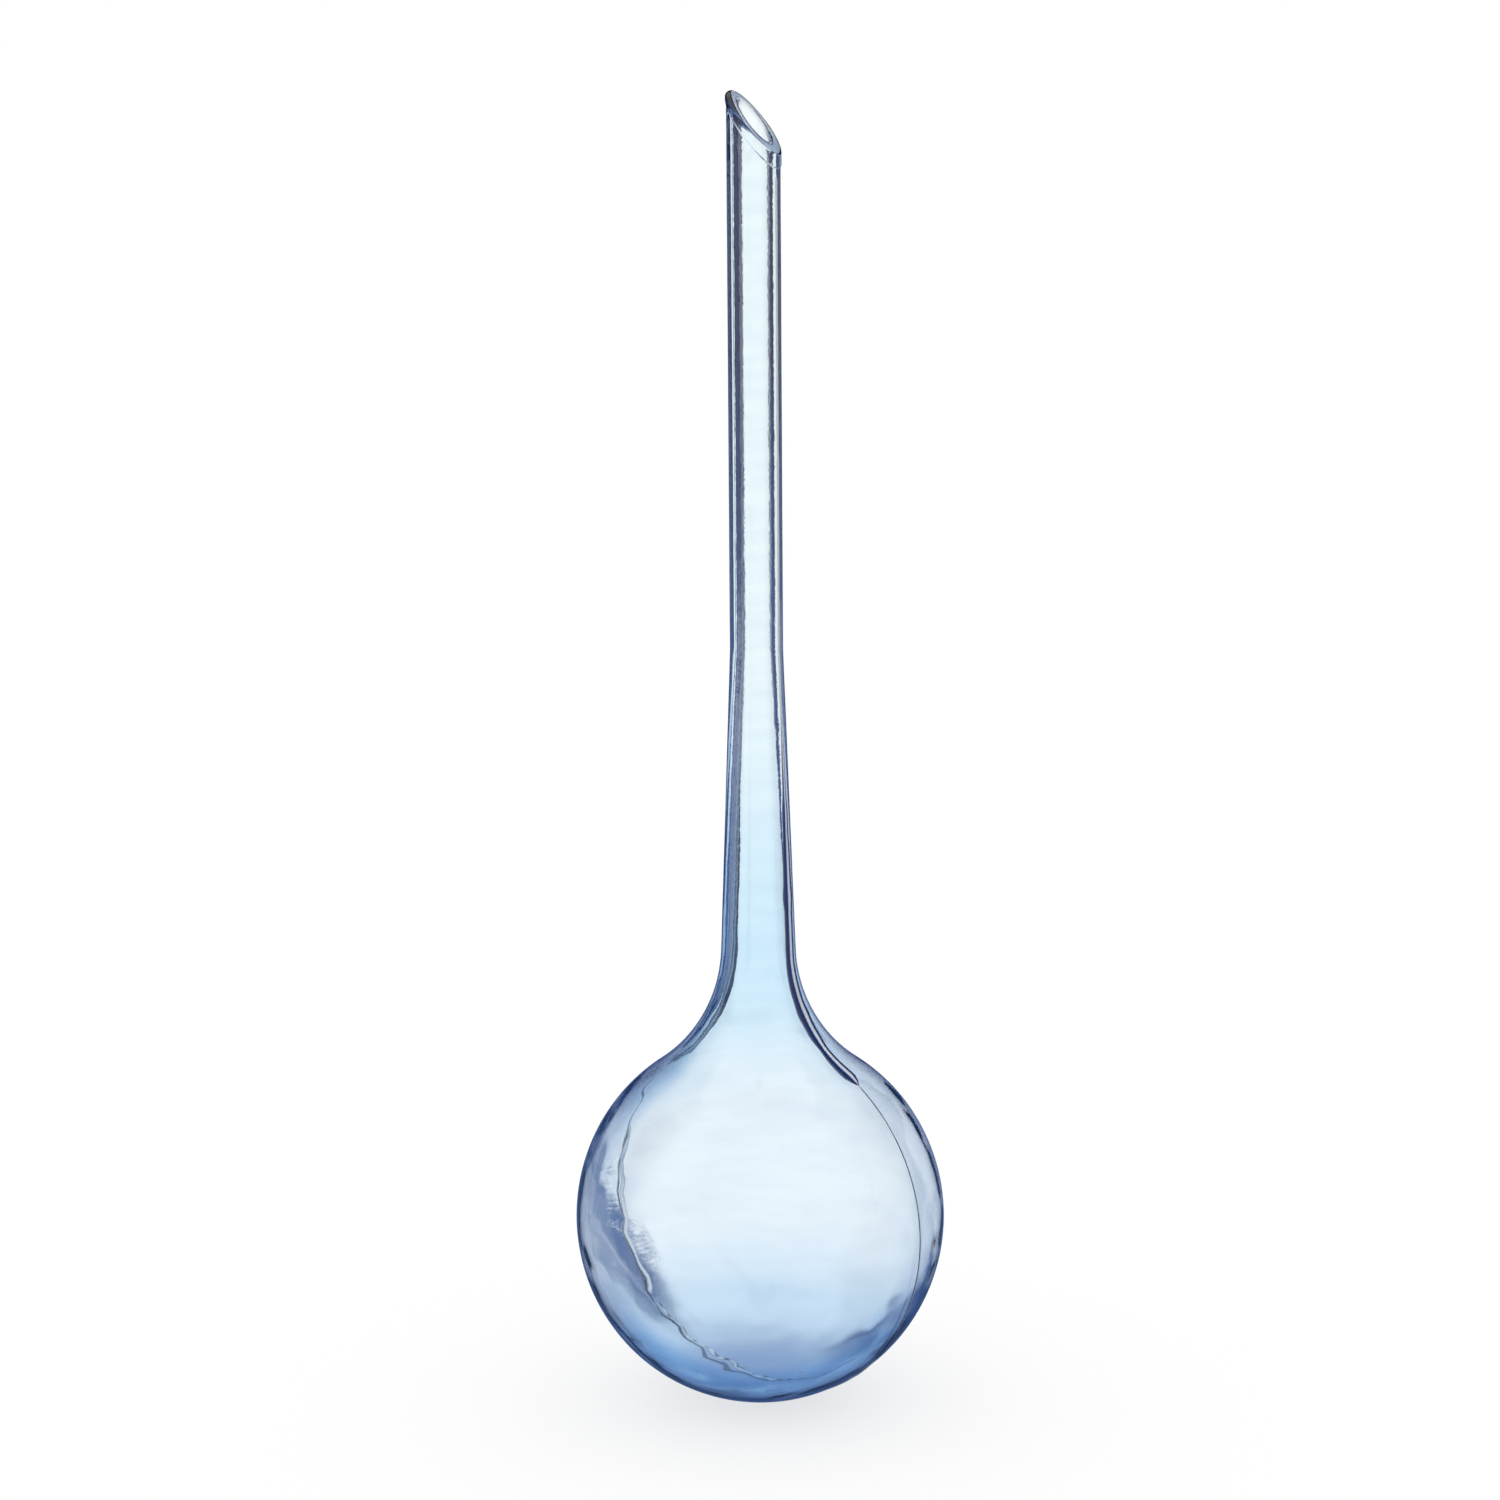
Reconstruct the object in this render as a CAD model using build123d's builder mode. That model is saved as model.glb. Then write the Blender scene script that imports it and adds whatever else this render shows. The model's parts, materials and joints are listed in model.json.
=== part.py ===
"""Watering globe: a blown plastic globe with a long hollow stem, as two half shells, their welds and a lip.

Millimetres, with +Z up the stem. The origin is on the stem's axis at the soil line, where the straight
stem meets its taper. The mould parts on the XZ plane: the front half shell is towards -Y and the rear
one towards +Y.
"""

import os
from math import radians, sqrt, tan

from build123d import *

# Globe
globe_diameter = 75.0
globe_drop = 115.0  # soil line down to the globe's centre
shoulder_wall = 0.8  # wall at the top of the globe
base_wall = 2.0  # wall at its base, where the plastic stays thicker

# Neck and stem
stem_diameter = 10.7
bore_diameter = 6.0
stem_length = 104.5  # soil line up to the middle of the slanted tip
taper_angle = 2.1
neck_wall = 1.6  # wall at the foot of the taper
neck_round = 29.0  # flare from the taper into the globe

# Tip
tip_slant = 53.5  # angle between the cut and a square end, with the low side towards -X
lip_height = 1.6  # thickened rim, measured square to the cut
lip_proud = 0.2
rim_bevel = 0.8  # edges of the cut, inside and outside

# Welds
weld_width = 1.2  # strip that joins the half shells
stem_weld_reach = 24.0  # distance from the axis where the stem's welds end, on the shoulder
stem_weld_proud = 0.15
globe_seam_proud = 0.1
base_weld_reach = 27.0  # distance from the axis where the base weld ends
base_weld_proud = 0.3
base_bead = 1.0  # how far the base weld stands up inside the globe

# Worked out from the sizes above
globe_radius = globe_diameter / 2
stem_radius = stem_diameter / 2
bore_radius = bore_diameter / 2
cavity_radius = globe_radius - (base_wall + shoulder_wall) / 2
cavity_drop = globe_drop - (base_wall - shoulder_wall) / 2
neck_length = globe_drop - globe_radius
taper_foot_radius = stem_radius + neck_length * tan(radians(taper_angle))
cavity_foot_radius = taper_foot_radius - neck_wall
cavity_round = neck_round + neck_wall
lip_radius = stem_radius + lip_proud
blank_top = stem_length + 2 * lip_radius * tan(radians(tip_slant))
shoulder_end = sqrt(globe_radius**2 - stem_weld_reach**2) - globe_drop
base_end = -sqrt(globe_radius**2 - base_weld_reach**2) - globe_drop
below_globe = -globe_drop - globe_diameter
beside_globe = globe_diameter

tip_plane = Plane.XY.offset(stem_length).rotated((0, -tip_slant, 0))
lip_plane = tip_plane.offset(-lip_height)

os.makedirs("parts", exist_ok=True)


def half_profile(ball_radius, ball_drop, foot_radius, tube_radius, flare):
    """Half section of a ball, a tapered neck with a flared foot, and a straight tube up past the tip."""
    ball_top = (0, ball_radius - ball_drop)
    centre_radius = tube_radius + (foot_radius - tube_radius) * ball_drop / neck_length
    with BuildSketch(Plane.XZ) as profile:
        with Locations((0, -ball_drop)):
            Circle(ball_radius)
        with BuildLine():
            Polyline(
                (0, -ball_drop),
                (centre_radius, -ball_drop),
                (tube_radius, 0),
                (tube_radius, blank_top),
                (0, blank_top),
                close=True,
            )
        make_face()
        split(bisect_by=Plane.YZ, keep=Keep.TOP)
        fillet(profile.vertices().sort_by_distance(ball_top)[0], flare)
    return profile


outer_profile = half_profile(globe_radius, globe_drop, taper_foot_radius, stem_radius, neck_round)
cavity_profile = half_profile(cavity_radius, cavity_drop, cavity_foot_radius, bore_radius, cavity_round)

# Wall of the globe, neck and stem, up to the lip
with BuildPart() as wall:
    revolve(outer_profile.sketch, axis=Axis.Z)
    revolve(cavity_profile.sketch, axis=Axis.Z, mode=Mode.SUBTRACT)
    split(bisect_by=lip_plane, keep=Keep.BOTTOM)

# Half shells, one from each half of the mould
with BuildPart() as front_half_shell:
    add(wall.part)
    split(bisect_by=Plane.XZ.offset(weld_width / 2), keep=Keep.TOP)
front_half_shell.part.label = "front_half_shell"
export_step(front_half_shell.part, "parts/front_half_shell.step")

with BuildPart() as rear_half_shell:
    add(wall.part)
    split(bisect_by=Plane.XZ.offset(-weld_width / 2), keep=Keep.BOTTOM)
rear_half_shell.part.label = "rear_half_shell"
export_step(rear_half_shell.part, "parts/rear_half_shell.step")

# Lip: the thickened rim round the slanted cut, with its edges taken off
with BuildPart() as tip_lip:
    Cylinder(lip_radius, blank_top, align=(Align.CENTER, Align.CENTER, Align.MIN))
    Cylinder(bore_radius, blank_top, align=(Align.CENTER, Align.CENTER, Align.MIN), mode=Mode.SUBTRACT)
    split(bisect_by=tip_plane, keep=Keep.BOTTOM)
    split(bisect_by=lip_plane, keep=Keep.TOP)
    rim_face = tip_lip.faces().filter_by(tip_plane).sort_by(Axis.Z)[-1]
    chamfer(rim_face.edges(), rim_bevel)
tip_lip.part.label = "tip_lip"
export_step(tip_lip.part, "parts/tip_lip.step")

# Sections of the outside and of the cavity on the parting plane
with BuildSketch(Plane.XZ) as outer_section:
    add(outer_profile.sketch_local)
    mirror(about=Plane.YZ)

with BuildSketch(Plane.XZ) as cavity_section:
    add(cavity_profile.sketch_local)
    mirror(about=Plane.YZ)

with BuildSketch(Plane.XZ) as beaded_cavity_section:
    offset(cavity_section.sketch_local, amount=-base_bead)


def weld(name, proud, inside, left, right, bottom, top):
    """Strip of wall on the parting plane, within a window of the section, that stands proud of the shells."""
    with BuildPart() as strip:
        with BuildSketch(Plane.XZ):
            offset(outer_section.sketch_local, amount=proud)
            add(inside.sketch_local, mode=Mode.SUBTRACT)
            with Locations((left, bottom)):
                Rectangle(right - left, top - bottom, align=(Align.MIN, Align.MIN), mode=Mode.INTERSECT)
        extrude(amount=weld_width / 2, both=True)
        split(bisect_by=lip_plane, keep=Keep.BOTTOM)
    strip.part.label = name
    export_step(strip.part, f"parts/{name}.step")


# Pinch welds down the stem to the shoulder, thin seams round the globe, and the weld across its base
for side, left, right in (("left", -beside_globe, 0), ("right", 0, beside_globe)):
    weld(f"stem_weld_{side}", stem_weld_proud, cavity_section, left, right, shoulder_end, blank_top)
    weld(f"globe_seam_{side}", globe_seam_proud, cavity_section, left, right, base_end, shoulder_end)
weld("base_weld", base_weld_proud, beaded_cavity_section, -beside_globe, beside_globe, below_globe, base_end)
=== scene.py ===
"""Looks of the watering globe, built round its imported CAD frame. Metres, with +Z up the stem."""

import json
from math import atan2, cos, pi, radians, sin, sqrt, tan

import bpy
import numpy as np
from mathutils import Matrix, Vector


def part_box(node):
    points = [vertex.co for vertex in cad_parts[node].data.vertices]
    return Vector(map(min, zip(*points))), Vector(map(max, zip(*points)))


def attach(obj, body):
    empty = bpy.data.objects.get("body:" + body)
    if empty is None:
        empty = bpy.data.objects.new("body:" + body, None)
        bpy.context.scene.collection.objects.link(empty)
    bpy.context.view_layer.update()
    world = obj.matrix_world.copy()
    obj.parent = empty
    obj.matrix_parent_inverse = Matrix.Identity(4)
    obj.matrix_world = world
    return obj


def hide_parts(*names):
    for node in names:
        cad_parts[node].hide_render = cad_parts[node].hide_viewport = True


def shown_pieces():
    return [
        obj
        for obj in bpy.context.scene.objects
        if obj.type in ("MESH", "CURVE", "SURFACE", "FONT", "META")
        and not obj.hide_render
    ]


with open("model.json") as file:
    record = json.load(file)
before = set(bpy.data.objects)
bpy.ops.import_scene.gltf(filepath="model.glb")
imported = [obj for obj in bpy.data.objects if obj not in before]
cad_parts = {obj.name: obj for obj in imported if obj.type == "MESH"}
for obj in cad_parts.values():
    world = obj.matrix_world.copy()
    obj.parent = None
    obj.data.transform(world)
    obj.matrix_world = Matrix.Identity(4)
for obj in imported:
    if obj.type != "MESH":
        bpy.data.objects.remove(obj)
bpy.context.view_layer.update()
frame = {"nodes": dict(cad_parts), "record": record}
MM = 0.001

# Sizes, from the frame where it gives them
mount_radius = {mount["name"]: mount["dims"]["r_mm"] * MM for mount in frame["record"]["mounts"]}
shell_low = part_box("front_half_shell")[0]
lip_low, lip_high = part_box("tip_lip")
base_low, base_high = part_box("base_weld")
stem_radius = mount_radius["stem"]
bore_radius = mount_radius["mouth"]
lip_radius = lip_high.x
globe_radius = -shell_low.y
globe_z = shell_low.z + globe_radius
weld_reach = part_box("stem_weld_right")[1].x
base_reach = base_high.x
floor_z = base_low.z

# Walls
shoulder_wall = 0.8 * MM
base_wall = 2.0 * MM
neck_wall = 1.6 * MM
cavity_radius = globe_radius - (base_wall + shoulder_wall) / 2
cavity_z = globe_z + (base_wall - shoulder_wall) / 2
taper = tan(radians(2.1))
neck_length = -globe_z - globe_radius
cavity_taper = (stem_radius + neck_length * taper - neck_wall - bore_radius) / neck_length
neck_round = 29 * MM
cavity_round = neck_round + neck_wall

# Tip
slant_angle = radians(53.5)
slant = tan(slant_angle)
lip_depth = 1.6 * MM / cos(slant_angle)
tip_z = lip_low.z + lip_radius * slant + lip_depth
lip_foot = tip_z - lip_depth
rim_round_out = 0.75 * MM
rim_round_in = 0.35 * MM
least_lip_side = 0.25 * MM
film_gap = 0.012 * MM

# Welds and flash
weld_half = 1.2 * MM
weld_proud = 0.4 * MM
seam_half = 0.32 * MM
seam_proud = 0.08 * MM
flash_half = 0.5 * MM
flash_sway = 0.35 * MM
base_half_out = 0.5 * MM
base_proud_out = 0.15 * MM
base_half_in = 0.42 * MM
base_proud_in = 0.3 * MM
base_sway = 0.5 * MM

# Mesh fineness: the rows' spacing, the points round a ring, and the rows of each stretch over the rim
step = 0.9 * MM
ball_step = 1.3 * step
around = 384
lip_foot_rows = 8
lip_side_rows = 12
rim_rows_out = 16
cut_rows = 5
rim_rows_in = 14
bore_top_rows = 4

rng = np.random.default_rng(455)


def ball_height(share):
    """Height on the globe: -1 is its base, 0 its middle and 1 its top."""
    return globe_z + share * globe_radius


def smooth(low, high, value):
    """0 before low, 1 past high, and a smooth step between."""
    t = np.clip((value - low) / (high - low), 0, 1)
    return t * t * (3 - 2 * t)


def waves(points, lengths, count=40):
    """Smooth random field at the points, about -1 to 1, with one wavelength for each axis."""
    total = np.zeros(points.shape[:-1])
    for _ in range(count):
        turn = rng.normal(size=3)
        turn *= rng.uniform(0.6, 1.5) / np.linalg.norm(turn)
        push = turn * 2 * pi / np.asarray(lengths)
        total += np.cos(points @ push + rng.uniform(0, 2 * pi))
    return total / sqrt(count) / 1.4


def along_waves(length, count, size):
    """Smooth random values along a line."""
    spots = np.linspace(0, length, count)[:, None] * (1, 0, 0)
    return waves(spots, (size, 1, 1), 14)


def grid_faces(rows, columns):
    """Quads between neighbouring rows of a grid of points whose rows are closed rings."""
    row = np.arange(rows - 1)[:, None] * columns
    column = np.arange(columns)[None, :]
    after = (column + 1) % columns
    quads = np.stack([row + column, row + after, row + columns + after, row + columns + column], -1)
    return quads.reshape(-1, 4)


def mesh_object(name, points, faces, material):
    mesh = bpy.data.meshes.new(name)
    mesh.from_pydata([tuple(p) for p in points], [], [tuple(int(i) for i in f) for f in faces])
    mesh.polygons.foreach_set("use_smooth", [True] * len(mesh.polygons))
    mesh.materials.append(material)
    mesh.update()
    piece = bpy.data.objects.new(name, mesh)
    bpy.context.collection.objects.link(piece)
    return piece


def paint(piece, name, values):
    """A value at each point of a piece's mesh, for its material to read."""
    layer = piece.data.attributes.new(name, "FLOAT", "POINT")
    layer.data.foreach_set("value", np.asarray(values, np.float32).ravel())


# Materials
class Shading:
    """A new material, with short ways to add its nodes."""

    def __init__(self, name):
        self.material = bpy.data.materials.new(name)
        self.material.use_nodes = True
        self.nodes = self.material.node_tree.nodes
        self.link = self.material.node_tree.links.new

    def put(self, socket, value):
        """Sets a socket to a constant, or links it to another node's output."""
        if isinstance(value, bpy.types.NodeSocket):
            self.link(value, socket)
        else:
            socket.default_value = value

    def put_all(self, node, inputs):
        for socket, value in inputs.items():
            self.put(node.inputs[socket], value)

    def add(self, kind, inputs, **settings):
        """The outputs of a new node with these settings and inputs."""
        node = self.nodes.new(kind)
        for name, value in settings.items():
            setattr(node, name, value)
        self.put_all(node, inputs)
        return node.outputs

    def math(self, operation, *values):
        return self.add("ShaderNodeMath", dict(enumerate(values)), operation=operation)[0]

    def spread(self, value, low, high, top=1):
        """A value's range from low to high, spread over 0 to top."""
        ends = {"Value": value, "From Min": low, "From Max": high, "To Max": top}
        return self.add("ShaderNodeMapRange", ends)["Result"]

    def mix(self, factor, a, b, blend="MULTIPLY"):
        inputs = {"Factor": factor, "A": a, "B": b}
        return self.add("ShaderNodeMix", inputs, data_type="RGBA", blend_type=blend)["Result"]

    def attribute(self, name):
        return self.add("ShaderNodeAttribute", {}, attribute_name=name)["Fac"]

    def ramp(self, source, stops, low=0, high=1, interpolation="LINEAR"):
        """Colours along a source of 0 to 1, with stops given between low and high."""
        node = self.nodes.new("ShaderNodeValToRGB")
        node.color_ramp.interpolation = interpolation
        elements = node.color_ramp.elements
        for i, (value, colour) in enumerate(stops):
            stop = elements[i] if i < 2 else elements.new(1)
            stop.position = (value - low) / (high - low)
            stop.color = (*colour, 1)
        self.link(source, node.inputs["Fac"])
        return node.outputs["Color"]

    def grain(self, place, scale, squeeze, detail):
        """Noise, squeezed along Z."""
        squeezed = self.add("ShaderNodeMapping", {"Vector": place, "Scale": (1, 1, squeeze)})["Vector"]
        return self.add("ShaderNodeTexNoise", {"Vector": squeezed, "Scale": scale, "Detail": detail})["Fac"]

    def surface_only(self, shader):
        """Leaves out the usual shader and shows this one."""
        self.nodes.remove(self.nodes["Principled BSDF"])
        self.link(shader, self.nodes["Material Output"].inputs["Surface"])


def grey(value):
    return (value, value, value)


# Tints: by height, painted shade edge-on and at the very outline, clouded inside, and painted shade where a
# piece's points are marked for it
# The globe darkens towards its base: partly the thicker base's deeper blue, partly painted shade
shell_tint = [
    (ball_height(-1), (0.22, 0.32, 0.54)),
    (ball_height(-0.75), (0.7, 0.83, 0.95)),
    (ball_height(-0.3), (0.91, 0.955, 0.99)),
    (ball_height(0.5), (0.95, 0.98, 1.0)),
    (ball_height(1.3), (0.82, 0.935, 1.0)),
    (0.0, (0.97, 1.0, 1.0)),
]
# Painted shade edge-on: deeper blue to navy where the surface is seen edge-on, and how much of it each
# height gets
shell_edge_shade = [
    (0.25, (1, 1, 1)),
    (0.42, (0.82, 0.91, 0.98)),
    (0.5, (0.38, 0.58, 0.86)),
    (0.57, (0.16, 0.34, 0.66)),
    (0.66, (0.09, 0.21, 0.48)),
    (0.8, (0.08, 0.12, 0.3)),
]
shell_edge_shade_share = [
    (ball_height(-1), grey(1)),
    (ball_height(-0.5), grey(1)),
    (ball_height(-0.25), grey(0.5)),
    (ball_height(0), grey(0.12)),
    (ball_height(0.3), grey(0.3)),
    (ball_height(0.7), grey(0.9)),
    (ball_height(1.2), grey(0.9)),
    (-20 * MM, grey(0.8)),
    (20 * MM, grey(0.35)),
]
weld_tint = [(ball_height(-1), (0.82, 0.9, 0.98)), (ball_height(0), (0.95, 0.98, 1.0))]
# The welds' painted shade edge-on, and how much of it each height gets
weld_edge_shade = [(0.75, (1, 1, 1)), (0.95, (0.1, 0.13, 0.3))]
weld_edge_shade_share = [(ball_height(-1), grey(1)), (ball_height(1), grey(0.8))]
lip_tint = [
    (tip_z - 5 * MM, (0.66, 0.8, 0.96)),
    (tip_z - 1 * MM, (0.9, 0.96, 1.0)),
    (tip_z + 3 * MM, (0.85, 0.93, 1.0)),
    (tip_z + 6 * MM, (0.5, 0.6, 0.82)),
]
# Painted shade: a near-black outline where the surface is seen most nearly edge-on
outline_shade = [
    (0.66, (1, 1, 1)),
    (0.73, (0.62, 0.67, 0.78)),
    (0.82, (0.22, 0.22, 0.34)),
    (0.92, (0.07, 0.07, 0.14)),
]
cloud_tint = [(0.35, (0.92, 0.94, 0.97)), (0.6, (1, 1, 1))]
# Painted shade: navy where a piece's points are marked for it
painted_shade_tint = (0.02, 0.05, 0.2, 1)
shell_soak = (0.1, 0.65, 0.97, 1)
weld_soak = (0.1, 0.6, 0.95, 1)
soak_density = 24
# The side of the globe with more painted edge shade and longer relief strokes
shaded_side = (0.94, -0.34, 0)


def clear_plastic(name, tint, edge, edge_shade_share, soak, relief_depth, clarity):
    """Clear plastic, tinted by height, with painted shade edge-on and where its points are marked for it,
    and relief on its inner skin.
    """
    make = Shading(name)
    place = make.add("ShaderNodeTexCoord", {})["Object"]
    z = make.add("ShaderNodeSeparateXYZ", {0: place})["Z"]
    height = make.spread(z, shell_low.z, lip_high.z)
    sideways = make.add("ShaderNodeVectorMath", {0: place, 1: shaded_side}, operation="DOT_PRODUCT")["Value"]
    facing = make.add("ShaderNodeLayerWeight", {})["Facing"]
    inner = make.attribute("inner")
    outside = make.math("SUBTRACT", 1, inner)

    # The painted edge shade is weaker on the shoulder, away from the shaded side
    lightly_shaded_side = make.spread(sideways, 0, -0.45 * globe_radius)
    thin_top = make.spread(z, globe_z, ball_height(0.5))
    full = make.math("MULTIPLY_ADD", make.math("MULTIPLY", lightly_shaded_side, thin_top), -0.5, 1)
    share = make.math("MULTIPLY", full, make.ramp(height, edge_shade_share, shell_low.z, lip_high.z))
    edge_shade_weight = make.math("MULTIPLY", outside, share)

    by_height = make.ramp(height, tint, shell_low.z, lip_high.z, "EASE")
    clouded = make.mix(inner, by_height, make.ramp(make.grain(place, 70, 4, 4), cloud_tint))
    # Painted shade: darker edge-on, darker still at the outline, and navy where the points are marked for
    # it
    edge_shaded = make.mix(edge_shade_weight, clouded, make.ramp(facing, edge))
    outline_shaded = make.mix(outside, edge_shaded, make.ramp(facing, outline_shade))
    colour = make.mix(make.attribute("painted_shade"), outline_shaded, painted_shade_tint)

    # Relief: fine grain up the stem's bore, and longer strokes on the shaded side of the globe
    stem_share = make.spread(z, ball_height(1), 20 * MM, 0.65)
    stem_grain = make.math("MULTIPLY", make.grain(place, 2100, 0.8, 1.5), stem_share)
    side_share = make.spread(sideways, 0.5 * globe_radius, 0.85 * globe_radius)
    strokes = make.math("MULTIPLY", make.grain(place, 320, 3.5, 3), side_share)
    relief = make.math("MULTIPLY", inner, make.math("MULTIPLY_ADD", strokes, 1.7, stem_grain))
    bump = make.add("ShaderNodeBump", {"Distance": relief_depth, "Height": relief})["Normal"]

    make.put_all(make.nodes["Principled BSDF"], {
        "Base Color": colour,
        "Normal": bump,
        "Transmission Weight": clarity,
        "IOR": 1.5,
        "Roughness": 0.02,
        "Specular IOR Level": 0.25,
    })
    volume = make.add("ShaderNodeVolumeAbsorption", {"Color": soak, "Density": soak_density})["Volume"]
    make.link(volume, make.nodes["Material Output"].inputs["Volume"])
    return make.material


def painted_highlight_plastic():
    """Opaque whitish plastic for the flash: its white is a painted highlight, and it turns navy, a painted
    shade, where its points are marked.
    """
    make = Shading("painted_highlight_plastic")
    # White as a painted highlight, navy as painted shade where the points are marked
    colour = make.mix(make.attribute("painted_shade"), (0.95, 0.98, 1.0, 1), (0.06, 0.11, 0.28, 1), "MIX")
    make.put_all(make.nodes["Principled BSDF"], {"Base Color": colour, "Roughness": 0.25, "Metallic": 0.6})
    return make.material


def pale_floor():
    """Matt floor that glows white to the eye, to gloss and through glass, and keeps the object's shadow."""
    make = Shading("floor")
    rays = make.add("ShaderNodeLightPath", {})
    clear = make.math("MAXIMUM", rays["Is Glossy Ray"], rays["Is Transmission Ray"])
    seen = make.math("MAXIMUM", rays["Is Camera Ray"], clear)
    matt = make.add("ShaderNodeBsdfDiffuse", {"Color": (0.3, 0.3, 0.3, 1)})["BSDF"]
    glow = make.add("ShaderNodeEmission", {"Strength": make.math("MULTIPLY", seen, 0.71)})["Emission"]
    make.surface_only(make.add("ShaderNodeAddShader", {0: matt, 1: glow})["Shader"])
    return make.material


def dark_card():
    """Card that darkens with height, and is white where its fade is 1."""
    make = Shading("dark_card")
    place = make.add("ShaderNodeNewGeometry", {})["Position"]
    z = make.add("ShaderNodeSeparateXYZ", {0: place})["Z"]
    stops = [(0.0, (0.07, 0.14, 0.32)), (0.2, (0.03, 0.08, 0.25)), (1.0, (0.012, 0.014, 0.07))]
    dark = make.ramp(make.spread(z, floor_z, 0.1), stops)
    colour = make.mix(make.attribute("fade"), dark, (1, 1, 1, 1), "MIX")
    make.surface_only(make.add("ShaderNodeEmission", {"Color": colour})["Emission"])
    return make.material


shell_plastic = clear_plastic(
    "clear_blue_plastic", shell_tint, shell_edge_shade, shell_edge_shade_share, shell_soak, 0.045 * MM, 1
)
weld_plastic = clear_plastic(
    "weld_plastic", weld_tint, weld_edge_shade, weld_edge_shade_share, weld_soak, 0.01 * MM, 0.4
)
lip_plastic = clear_plastic("clouded_plastic", lip_tint, weld_edge_shade, weld_edge_shade_share, weld_soak, 0, 0.5)
flash_highlight_plastic = painted_highlight_plastic()
card_material = dark_card()


# Profiles of the outer and the inner skin, as radius and height
def section(tube_radius, slope, ball_radius, ball_z, flare):
    """Half section of a ball, its flare and its tapered neck, from the base up to the soil line."""
    grow = sqrt(1 + slope**2)
    lean = tube_radius + flare * grow
    half_b = -ball_z - lean * slope
    rest = lean**2 + ball_z**2 - (ball_radius + flare) ** 2
    flare_z = (-half_b + sqrt(half_b**2 - grow**2 * rest)) / grow**2
    flare_r = lean - slope * flare_z
    meet = atan2(flare_z - ball_z, flare_r)
    rows = []
    count = int(ball_radius * (meet + pi / 2) / ball_step)
    for bend in np.linspace(-pi / 2, meet, count, endpoint=False):
        rows.append((ball_radius * cos(bend), ball_z + ball_radius * sin(bend)))
    start = meet + pi
    end = pi + atan2(slope, 1)
    count = int(flare * (start - end) / step)
    for bend in np.linspace(start, end, count, endpoint=False):
        rows.append((flare_r + flare * cos(bend), flare_z + flare * sin(bend)))
    neck_z = flare_z + flare * sin(end)
    for z in np.linspace(neck_z, 0, int(-neck_z / step), endpoint=False):
        rows.append((tube_radius - slope * z, z))
    return rows


def stem_rows():
    """Rows of the outer skin from the soil line up to the lip's foot, where it swells to the lip's size."""
    rows = [(stem_radius, z) for z in np.linspace(0, lip_foot - 0.6 * MM, int(lip_foot / step))]
    for t in np.linspace(0, 1, lip_foot_rows):
        swell = (lip_radius - stem_radius) * smooth(0, 1, t)
        rows.append((stem_radius + swell, lip_foot + (t - 0.6) * 0.5 * MM))
    return rows


outer = section(stem_radius, taper, globe_radius, globe_z, neck_round) + stem_rows()
inner = section(bore_radius, cavity_taper, cavity_radius, cavity_z, cavity_round)
bore = [(bore_radius, z) for z in np.linspace(lip_foot - lip_depth, 0, int(lip_foot / step))[:-1]]

# Angles round a ring, closer together at the welds
even_turns = np.linspace(0, 2 * pi, around, endpoint=False)
angle = even_turns - 0.3 * np.sin(2 * even_turns)
cosine = np.cos(angle)[None, :]
sine = np.sin(angle)[None, :]


def leaning(z):
    """How far a ring at this height follows the slant of the tip, from 0 to 1."""
    return smooth(0.3 * tip_z, tip_z - 2 * lip_depth, z)


def leaned(rows):
    """Rows of a profile as rings, leaning over towards the slant of the tip."""
    r, z = np.array(rows)[:, :1], np.array(rows)[:, 1:]
    return r + 0 * cosine, z + leaning(z) * slant * r * cosine


def rounded(corner_r, side, size, count):
    """Rings round one edge of the slanted cut: the outside edge for side 1, the bore's for side -1."""
    rise = np.arctan(slant * cosine)
    half_corner = np.arccos(side * np.sin(rise)) / 2
    size = np.minimum(size, (lip_depth - least_lip_side) * np.tan(half_corner))
    t = np.linspace(0, 1, count)[:, None]
    start, end = (0 * rise, pi / 2 + rise) if side > 0 else (pi / 2 + rise, pi + 0 * rise)
    bend = start + t * (end - start)
    centre_r = corner_r - side * size
    centre_z = tip_z + slant * corner_r * cosine - size / np.tan(half_corner)
    return centre_r + size * np.cos(bend), centre_z + size * np.sin(bend)


def between(low, high, count):
    """Rings between the last ring of one stretch and the first of the next."""
    t = np.linspace(0, 1, count + 2)[1:-1, None]
    return tuple(a[-1] + t * (b[0] - a[-1]) for a, b in zip(low, high))


# Shell: the outer skin up to the rim, over it, and the inner skin back down
outer_rings = leaned(outer)
outer_edge = rounded(lip_radius, 1, rim_round_out, rim_rows_out)
inner_edge = rounded(bore_radius, -1, rim_round_in, rim_rows_in)
inner_rings = leaned(bore + inner[::-1])
stretches = (
    outer_rings,
    between(outer_rings, outer_edge, lip_side_rows),
    outer_edge,
    between(outer_edge, inner_edge, cut_rows),
    inner_edge,
    between(inner_edge, inner_rings, bore_top_rows),
    inner_rings,
)
ring_r = np.vstack([stretch[0] for stretch in stretches])
ring_z = np.vstack([stretch[1] for stretch in stretches])
lip_row = len(outer)
edge_row = lip_row + lip_side_rows
cut_row = edge_row + rim_rows_out
hollow_row = cut_row + cut_rows
is_inner = np.arange(len(ring_r)) >= cut_row + cut_rows // 2


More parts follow.
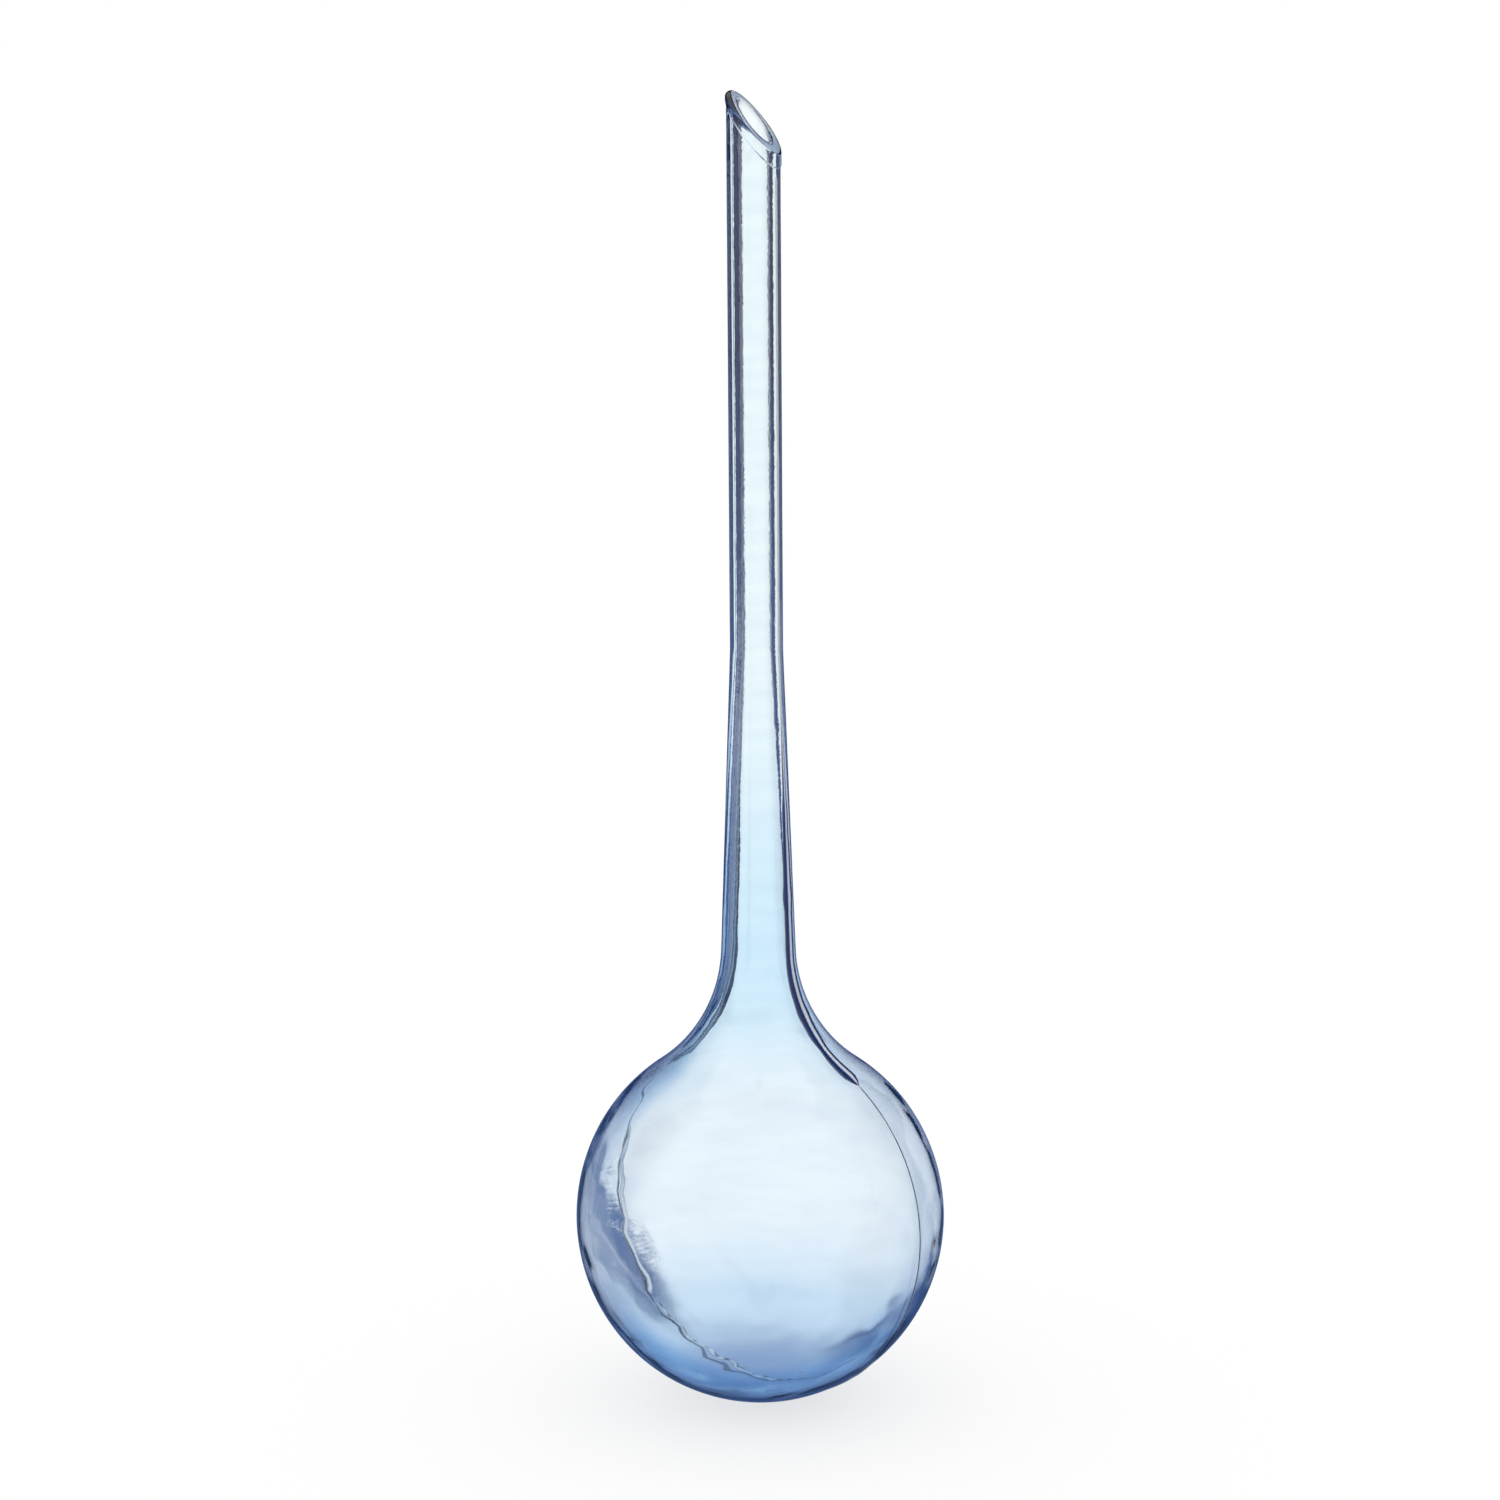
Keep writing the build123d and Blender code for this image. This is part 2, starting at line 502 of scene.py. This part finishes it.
def rippled():
    """Points of the shell's rings, with ripples in both skins that die out towards the rim."""
    points = np.stack([ring_r * cosine, ring_r * sine, ring_z], -1)
    run_r, run_z = np.gradient(ring_r, axis=0), np.gradient(ring_z, axis=0)
    run_length = np.hypot(run_r, run_z) + 1e-9
    height = ring_z.mean(1)[:, None]
    on_globe = smooth(ball_height(1.1), ball_height(0.6), height)
    off_rim = 1 - smooth(lip_foot - 4 * MM, lip_foot, height)
    broad = waves(points, (9 * MM, 9 * MM, 6 * MM))
    streaks = waves(points, (5 * MM, 5 * MM, 2.5 * MM))
    fine = waves(points, (2.4 * MM, 2.4 * MM, 2.4 * MM))
    tube = waves(points, (3 * MM, 3 * MM, 4 * MM))
    swell = waves(points, (14 * MM, 14 * MM, 11 * MM))
    ripple = on_globe * (0.035 * broad + 0.015 * streaks) + (1 - on_globe) * (0.012 * tube + 0.005 * fine)
    lift = np.where(is_inner[:, None], ripple, 0.01 * (swell - 2)) * off_rim * MM
    out_r, out_z = lift * run_z / run_length, -lift * run_r / run_length
    return points + np.stack([out_r * cosine, out_r * sine, out_z], -1)


def rim_painted_shade():
    """Painted shade over the shell's rings: a band under the rim's near side and a ring round the bore."""
    painted_shade = np.zeros_like(ring_r)
    degrees = np.degrees(angle)
    near = smooth(5, 60, degrees) * smooth(125, 75, degrees)
    below = ring_z[edge_row] - ring_z[lip_row:edge_row]
    painted_shade[lip_row:edge_row] = smooth(1.5 * MM, 1.1 * MM, below / np.maximum(near, 0.01)) * (near > 0.02)
    over_edge = np.linspace(0, 1, rim_rows_out)[:, None]
    painted_shade[edge_row:cut_row] = smooth(0.02, 0.25, near) * smooth(1, 0.75, over_edge)
    far = smooth(230, 260, degrees) * smooth(20, 350, degrees)
    into_bore = np.linspace(0, 1, rim_rows_in)[:, None]
    painted_shade[hollow_row : hollow_row + rim_rows_in] = (0.9 - 0.5 * far) * smooth(-0.1, 0.1, into_bore)
    painted_shade[hollow_row - 2 : hollow_row] = np.array([[0.5], [0.8]]) * (1 - 0.5 * far)
    return painted_shade


def closed_shell():
    """The rings as one closed mesh, with a point at each pole in place of the first and last ring."""
    grid = rippled()
    rings = grid[1:-1]
    points = np.vstack([rings.reshape(-1, 3), grid[0].mean(0), grid[-1].mean(0)])
    faces = grid_faces(len(rings), around).tolist()
    last_ring = (len(rings) - 1) * around
    outer_pole = len(rings) * around
    inner_pole = outer_pole + 1
    for i in range(around):
        after = (i + 1) % around
        faces.append((outer_pole, after, i))
        faces.append((inner_pole, last_ring + i, last_ring + after))
    piece = mesh_object("shell", points, faces, shell_plastic)
    paint(piece, "inner", np.append(np.repeat(is_inner[1:-1], around), [0, 1]))
    # Painted shade under the rim's near side and round the bore
    paint(piece, "painted_shade", np.append(rim_painted_shade()[1:-1], [0, 0]))
    return piece


shell = closed_shell()
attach(shell, "root")
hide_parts("front_half_shell", "rear_half_shell")


# Lip: the cut face, clouded by the cut
def cut_film():
    """A thin closed ring that lies on the cut face, a little crowned."""
    crown_columns = np.linspace(0, 1, 13)
    crown = 0.04 * MM * np.sqrt(1 - (2 * crown_columns - 1) ** 2)
    across = np.concatenate([crown_columns, crown_columns[1:-1][::-1]])
    lift = np.append(crown, np.zeros(len(across) - len(crown))) + film_gap
    start = inner_edge[0][0][:, None] + 0.3 * MM
    end = outer_edge[0][-1][:, None] - 0.03 * MM
    reach = start + np.maximum(end - start, 0.2 * MM) * across
    x = reach * cosine.T - lift * sin(slant_angle)
    z = tip_z + slant * reach * cosine.T + lift * cos(slant_angle)
    points = np.stack([x, reach * sine.T, z], -1).reshape(-1, 3)
    faces = grid_faces(around + 1, len(across)) % len(points)
    return mesh_object("tip_lip", points, faces, lip_plastic)


lip = cut_film()
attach(lip, "root")
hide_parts("tip_lip")

# Welds: rounded beads that lie on the shell along the parting plane, with painted shade down their flanks
bead_columns = np.linspace(-1, 1, 21)
bead_lift = np.append(np.sqrt(np.maximum(1 - bead_columns**2, 0)), np.zeros(19))
bead_across = np.append(bead_columns, bead_columns[1:-1][::-1])
# Painted shade down a bead's flanks
flank_shade = smooth(0.18, 0.34, np.abs(bead_across)) * smooth(1.15, 0.85, np.abs(bead_across))
bead_gap = 0.012 * MM
base_gap = 0.015 * MM


def bead(path, side, half_width, proud, inward=False, sway=0):
    """Points of a closed bead along a profile, on the side of +X or -X, on the outer or inner skin."""
    run = np.gradient(path, axis=0)
    run /= np.linalg.norm(run, axis=1)[:, None]
    length = np.linalg.norm(np.diff(path, axis=0), axis=1).sum()
    wobble = along_waves(length, len(path), 6 * MM)
    bend = along_waves(length, len(path), 9 * MM) + 0.5 * along_waves(length, len(path), 3 * MM)
    along = np.linspace(0, length, len(path))
    ends = np.clip(np.minimum(along, length - along) / half_width, 0.02, 1) ** 0.5
    out = -1 if inward else 1
    points = []
    for (r, z), (dr, dz), e, w, b, h, p in zip(path, run, ends, wobble, bend, half_width, proud):
        offset = bead_across * h * e * (1 + 0.12 * w) + sway * b
        height = out * (bead_lift * p * e * (1 + 0.2 * w) + bead_gap)
        reach = r + dz * height
        x = side * reach * np.cos(offset / r)
        y = side * reach * np.sin(offset / r)
        points.append(np.stack([x, y, z - dr * height + leaning(z) * slant * x], -1))
    return np.array(points)


def base_bead(ball_radius, ball_z, reach, half_width, proud, inward):
    """Points of a wavy bead across the base of a ball."""
    spots = np.linspace(-1, 1, 161)
    bend = spots * np.arcsin(reach / ball_radius)
    length = 2 * reach
    wobble = along_waves(length, len(bend), 9 * MM)
    sway = along_waves(length, len(bend), 12 * MM) + 0.4 * along_waves(length, len(bend), 3 * MM)
    ends = np.clip((1 - np.abs(spots)) * 6, 0.02, 1) ** 0.5
    out = -1 if inward else 1
    points = []
    for b, e, w, s in zip(bend, ends, wobble, sway):
        radius = ball_radius + out * (bead_lift * proud * e * (1 + 0.25 * w) + base_gap)
        y = (bead_across * half_width * e * (1 + 0.2 * w) + base_sway * s * e) / ball_radius
        down = np.sqrt(1 - sin(b) ** 2 - y**2)
        points.append(np.stack([sin(b) * radius, y * radius, ball_z - down * radius], -1))
    return np.array(points)


def weld(node, rows, shade_mark, name="", material=weld_plastic):
    """A closed bead that stands for a weld's node, with its painted shade over its section or all its
    points.
    """
    count = len(bead_lift)
    last_row = (len(rows) - 1) * count
    faces = grid_faces(len(rows), count).tolist()
    faces.append(tuple(range(count))[::-1])
    faces.append(tuple(range(last_row, last_row + count)))
    piece = mesh_object(name or node, rows.reshape(-1, 3), faces, material)
    paint(piece, "painted_shade", np.broadcast_to(shade_mark, (len(rows), count)))
    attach(piece, "root")
    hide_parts(node)


# Stem welds and globe seams, on both sides of the outer skin
wall_path = np.array(outer)
row_numbers = np.arange(len(wall_path))
shoulder_row = np.argmax((wall_path[:, 0] < weld_reach) & (wall_path[:, 1] > globe_z))
base_row = np.argmax(wall_path[:, 0] > base_reach)
stem_path = wall_path[(row_numbers >= shoulder_row) & (wall_path[:, 1] < lip_foot - 1 * MM)]
stem_half = weld_half * (0.35 + 0.65 * smooth(-15 * MM, -50 * MM, stem_path[:, 1]))
stem_half += 0.6 * weld_half * smooth(stem_radius, 2 * stem_radius, stem_path[:, 0])
stem_proud = weld_proud * stem_half / stem_half.max()
# Painted shade on the stem welds: both flanks on the neck, half of one flank up the stem
on_neck = smooth(0.05 * globe_z, 0.3 * globe_z, stem_path[:, 1])[:, None]
stem_flank_shade = flank_shade * (on_neck + (1 - on_neck) * 0.5 * (bead_across > 0.3))
seam_path = wall_path[base_row : shoulder_row + 1]
seam_halves = np.full(len(seam_path), seam_half)
seam_prouds = np.full(len(seam_path), seam_proud)
# Painted shade on one flank of each globe seam
seam_flank_shade = flank_shade * (bead_across < -0.2)
for side, name in ((-1, "left"), (1, "right")):
    weld(f"stem_weld_{name}", bead(stem_path, side, stem_half, stem_proud), stem_flank_shade)
    weld(f"globe_seam_{name}", bead(seam_path, side, seam_halves, seam_prouds), seam_flank_shade)

# Flash inside the globe, up the +X seam: whitish, a painted highlight, with painted shade along one edge
flash_top = ball_height(0.45)
cavity_path = np.array(inner)
in_globe = (cavity_path[:, 1] > ball_height(-0.8)) & (cavity_path[:, 1] < flash_top)
flash_path = cavity_path[in_globe & (cavity_path[:, 0] > base_reach)]
flash_run = (len(flash_path) - 1) * ball_step
flash_swell = np.maximum(1 + 0.5 * along_waves(flash_run, len(flash_path), 7 * MM), 0.16)
flash_fade = smooth(flash_top, ball_height(0.2), flash_path[:, 1])
flash_halves = flash_half * np.maximum(flash_swell * flash_fade, 0.1)
flash_rows = bead(flash_path, 1, flash_halves, 0.9 * flash_halves, True, flash_sway)
# Painted shade along one edge of the flash
flash_shade = smooth(-0.45, -0.75, bead_across)
weld("globe_seam_right", flash_rows, flash_shade, "globe_seam_flash", flash_highlight_plastic)

# Weld across the base, outside, and its flash inside, with painted highlights and painted shade
base_out = base_bead(globe_radius, globe_z, base_reach, base_half_out, base_proud_out, False)
base_in = base_bead(cavity_radius, cavity_z, 0.95 * base_reach, base_half_in, base_proud_in, True)
# Painted shade on the base flash, which stays white elsewhere as a painted highlight
glint_and_shade = smooth(-0.3, 0.3, along_waves(2 * base_reach, len(base_in), 2.5 * MM)[:, None] - 0.8 * bead_across)
# Faint painted shade down the base weld's flanks
weld("base_weld", base_out, 0.3 * flank_shade)
weld("base_weld", base_in, glint_and_shade, "base_flash", flash_highlight_plastic)

# Faces of every new piece turned outwards
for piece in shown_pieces():
    if piece.name in frame["nodes"]:
        continue
    bpy.context.view_layer.objects.active = piece
    piece.select_set(True)
    bpy.ops.object.mode_set(mode="EDIT")
    bpy.ops.mesh.select_all(action="SELECT")
    bpy.ops.mesh.normals_make_consistent(inside=False)
    bpy.ops.object.mode_set(mode="OBJECT")
    piece.select_set(False)

# Studio: white all round and a pale floor
scene = bpy.context.scene
scene.view_settings.view_transform = "Standard"
scene.cycles.max_bounces = 32
scene.cycles.transmission_bounces = 32
scene.cycles.glossy_bounces = 16
scene.world = bpy.data.worlds.new("studio")
scene.world.use_nodes = True
sky = scene.world.node_tree.nodes["Background"]
sky.inputs["Color"].default_value = (1, 1, 1, 1)
sky.inputs["Strength"].default_value = 1
floor_half = 6
corners = ((-1, -1), (1, -1), (1, 1), (-1, 1))
floor_points = [(floor_half * x, floor_half * y, floor_z) for x, y in corners]
floor = mesh_object("floor", floor_points, [(0, 1, 2, 3)], pale_floor())

# Dark cards: to both sides, which only the clear plastic shows, and behind, which only gloss shows
azimuths = np.arange(0, 360, 1.0)
unevenness = along_waves(360, len(azimuths), 5)


def upright(lift, radius, top):
    """Profile of a floor disc with an upright wall round it."""
    disc = [(r, floor_z + lift) for r in np.linspace(0.0005, radius - 0.01, 60)]
    return np.array(disc + [(radius, z) for z in np.linspace(floor_z + 2 * MM, top, 40)])


def on_floor(z):
    return z < floor_z + 1.5 * MM


def beside_dark(azimuth, r, z):
    """Darkness of the cards to the left and right of the photo's view, which reach in over the floor."""
    left_start = np.where(on_floor(z), 57 - 7 * smooth(0.04, 0.09, r), 52.5 - 2 * smooth(-0.04, -0.12, z))
    left = smooth(left_start, left_start + 5, azimuth) * smooth(152, 120, azimuth)
    left *= np.where(on_floor(z), (1 - 0.6 * smooth(60, 75, azimuth)) * smooth(0.02, 0.06, r), 1)
    left *= 1 - 0.3 * smooth(-0.2, 0.8, unevenness) * (z < 0)
    right_end = np.where(on_floor(z), 349 - 7 * smooth(0.05, 0.1, r), 340 + 20 * smooth(-0.06, 0, z))
    soft = np.where(on_floor(z), 5, 2)
    right = smooth(297, 330, azimuth) * smooth(right_end + soft, right_end - soft, azimuth)
    right += (right_end > 355) * smooth(2, -2, azimuth)
    right *= np.where(on_floor(z), smooth(0.012, 0.03, r), 1)
    return np.clip(left + right, 0, 1) * smooth(0.4, 0.2, z)


def behind_dark(azimuth, r, z):
    """Darkness of the card behind the object, which closes round its foot on the floor."""
    half_round = np.clip(smooth(270, 320, azimuth) + smooth(150, 100, azimuth), 0, 1)
    foot = np.where(on_floor(z), smooth(0.15, 0.06, r), 0)
    return np.maximum(half_round * smooth(0.8, 0.6, z), foot)


def surround(name, profile, darkness):
    """Surface round the object, hidden from the eye, dark as its azimuth, radius and height say."""
    r, z = profile[:, :1], profile[:, 1:]
    bearing = np.radians(azimuths)
    points = np.stack([r * np.sin(bearing), -r * np.cos(bearing), z + 0 * bearing], -1).reshape(-1, 3)
    card = mesh_object(name, points, grid_faces(len(profile), len(azimuths)), card_material)
    paint(card, "fade", 1 - darkness(azimuths, r, z))
    card.visible_camera = False
    card.visible_diffuse = False
    card.visible_shadow = False
    return card


cards_beside = surround("cards_beside", upright(0.2 * MM, 0.45, 0.4), beside_dark)
cards_beside.visible_glossy = False
card_behind = surround("card_behind", upright(0.4 * MM, 0.44, 0.8), behind_dark)
card_behind.visible_transmission = False

# Camera at the photo's angle
camera_place = Vector((-0.2562, 0.3907, 0.0187))
camera_aim = Vector((0.549, -0.8316, -0.0828)).normalized()
upwards = Vector((0.0401, -0.0728, 0.9965))
camera_right = camera_aim.cross(upwards).normalized()
camera_up = camera_right.cross(camera_aim)
camera_turn = Matrix((camera_right, camera_up, -camera_aim)).transposed()
lens = bpy.data.cameras.new("camera")
lens.lens = 55.94
lens.sensor_width = 36
lens.clip_start = 0.01
lens.clip_end = 100
camera = bpy.data.objects.new("camera", lens)
camera.matrix_world = Matrix.Translation(camera_place) @ camera_turn.to_4x4()
bpy.context.collection.objects.link(camera)
scene.camera = camera
